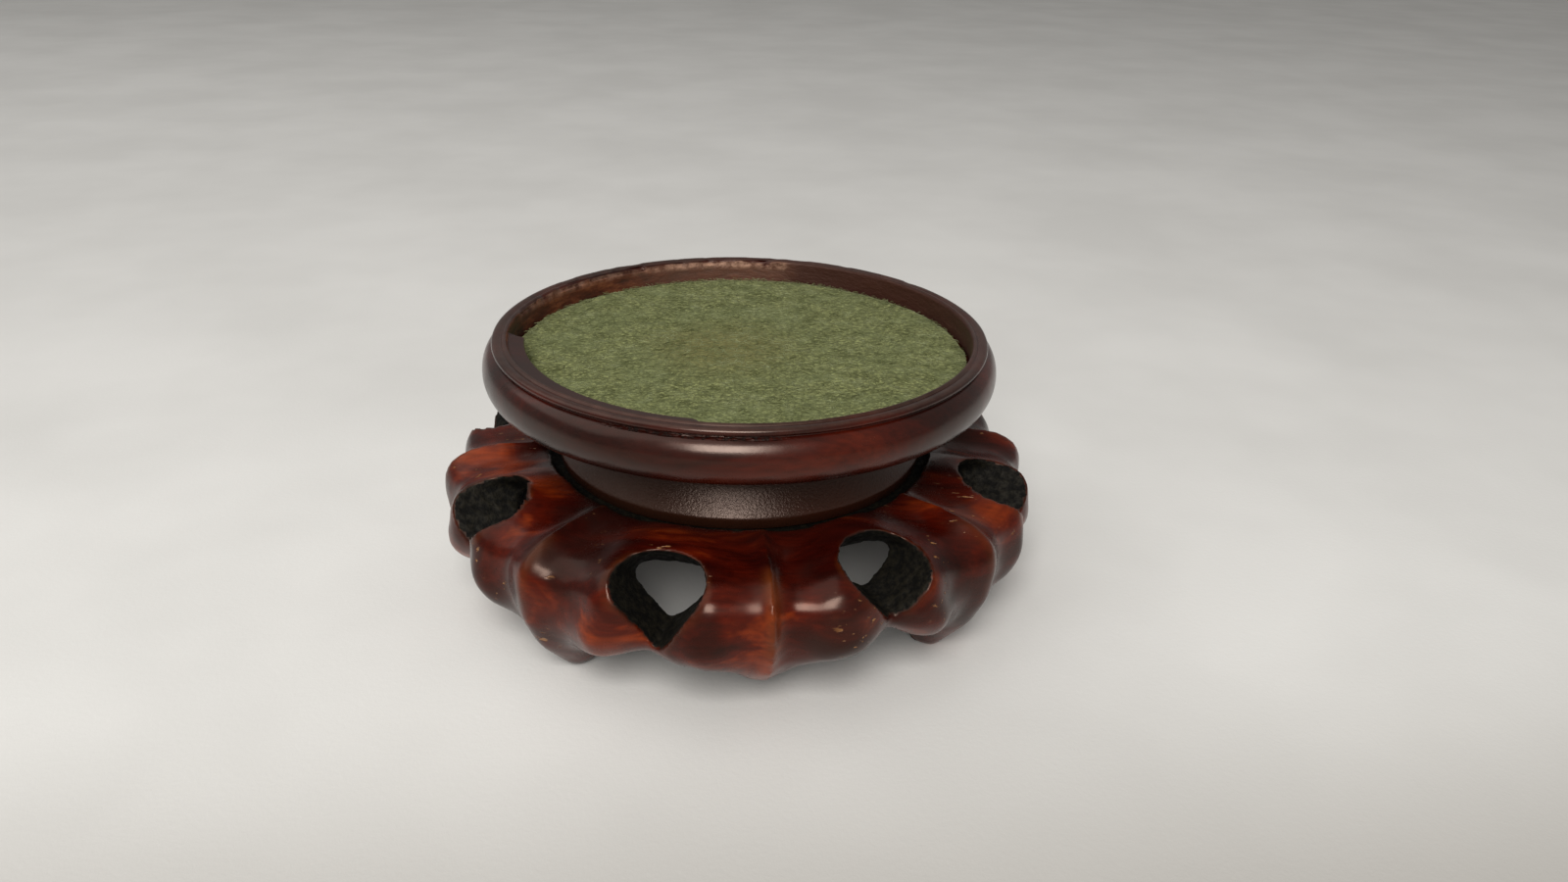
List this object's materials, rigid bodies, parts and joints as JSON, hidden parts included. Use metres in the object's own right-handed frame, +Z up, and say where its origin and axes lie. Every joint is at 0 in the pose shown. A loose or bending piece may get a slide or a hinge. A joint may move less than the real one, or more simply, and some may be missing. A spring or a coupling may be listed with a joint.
{
  "type": "chinese hardwood display stand",
  "caption": "Round carved hardwood display stand with a felt-lined turned dish on a short neck, set in a hollow base of ribbed legs with pierced teardrop openings.",
  "frame": {"origin": "on the floor, on the turning axis of the dish", "axes": "+Z up out of the dish; the leg with the worn foot faces -Y"},
  "size_m": [0.116, 0.116, 0.0515],
  "materials": {
    "carved_hardwood": "glossy dark red-brown lacquer over carved hardwood, duller in the openings",
    "turned_hardwood": "satin dark brown polish over turned hardwood",
    "green_felt": "short matted nap",
    "bamboo": "plain whittled bamboo"
  },
  "bodies": {
    "root": {"carved_base": "carved_hardwood", "turned_dish": "turned_hardwood", "felt_lining": "green_felt", "bamboo_pegs": "bamboo"}
  },
  "joints": []
}
